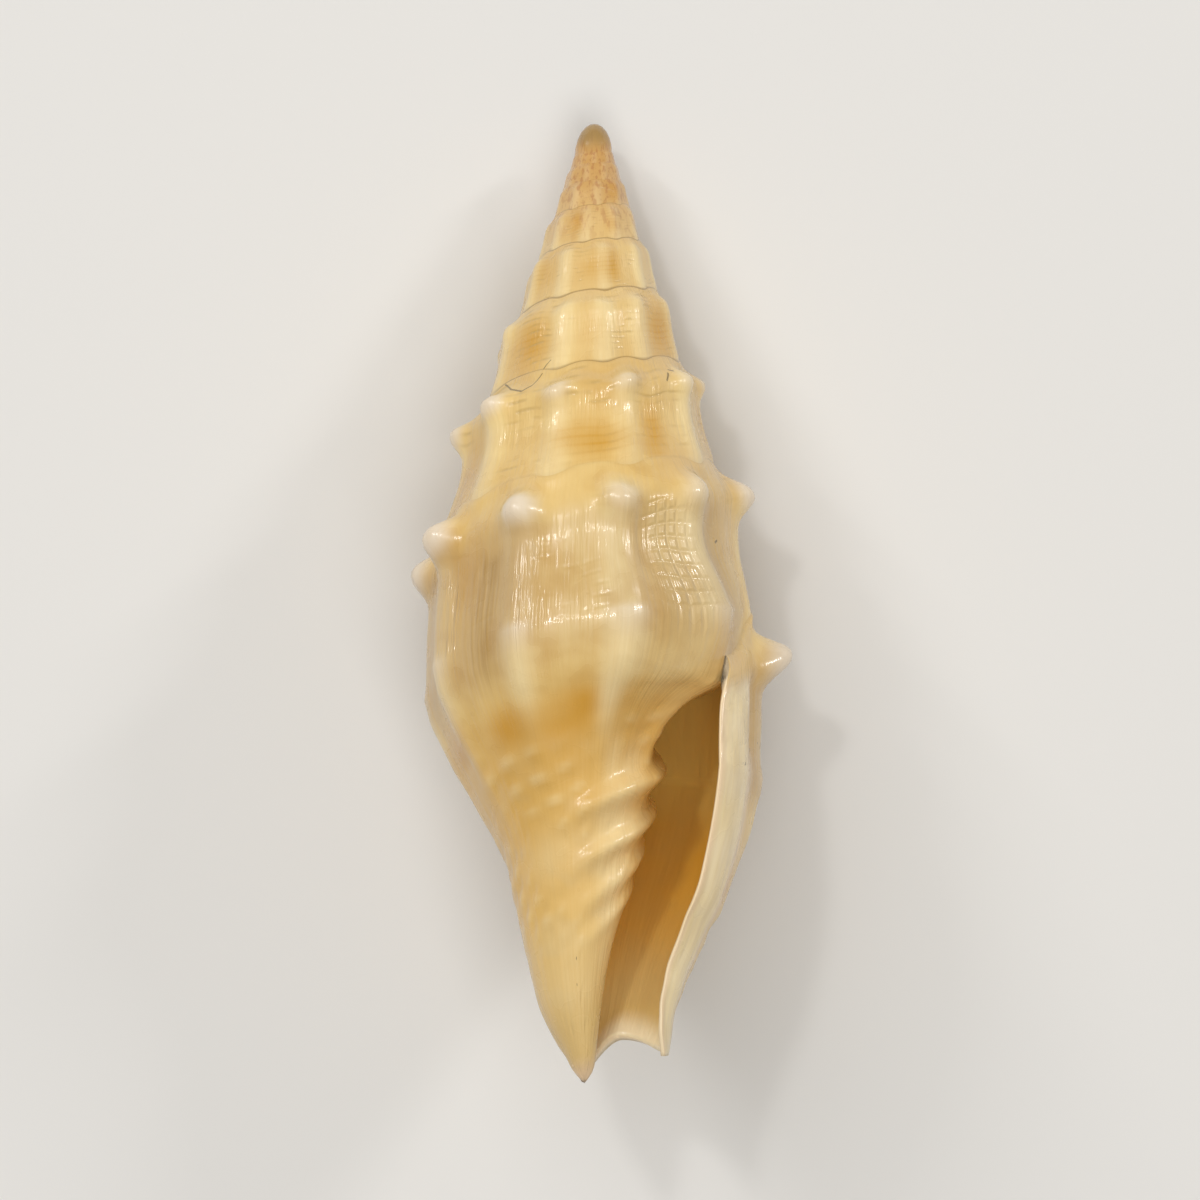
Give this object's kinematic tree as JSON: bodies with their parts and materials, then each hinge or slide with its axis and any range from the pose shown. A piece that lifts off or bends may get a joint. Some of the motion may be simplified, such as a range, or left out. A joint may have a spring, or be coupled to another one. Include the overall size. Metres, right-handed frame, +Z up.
{
  "type": "vexillum coronatum shell",
  "caption": "Ribbed-miter sea shell lying on its back: a tall ribbed spire with shoulder knobs, a narrow aperture with a folded columella, and a short open canal.",
  "frame": {"origin": "centre of the bounding box's base, on the surface that the shell lies on", "axes": "+Y towards the apex, +X to the side of the outer lip, +Z up, on the aperture's side"},
  "size_m": [0.0106, 0.0264, 0.0096],
  "materials": {
    "shell": "gloss"
  },
  "bodies": {
    "root": {"shell": "shell"}
  },
  "joints": []
}
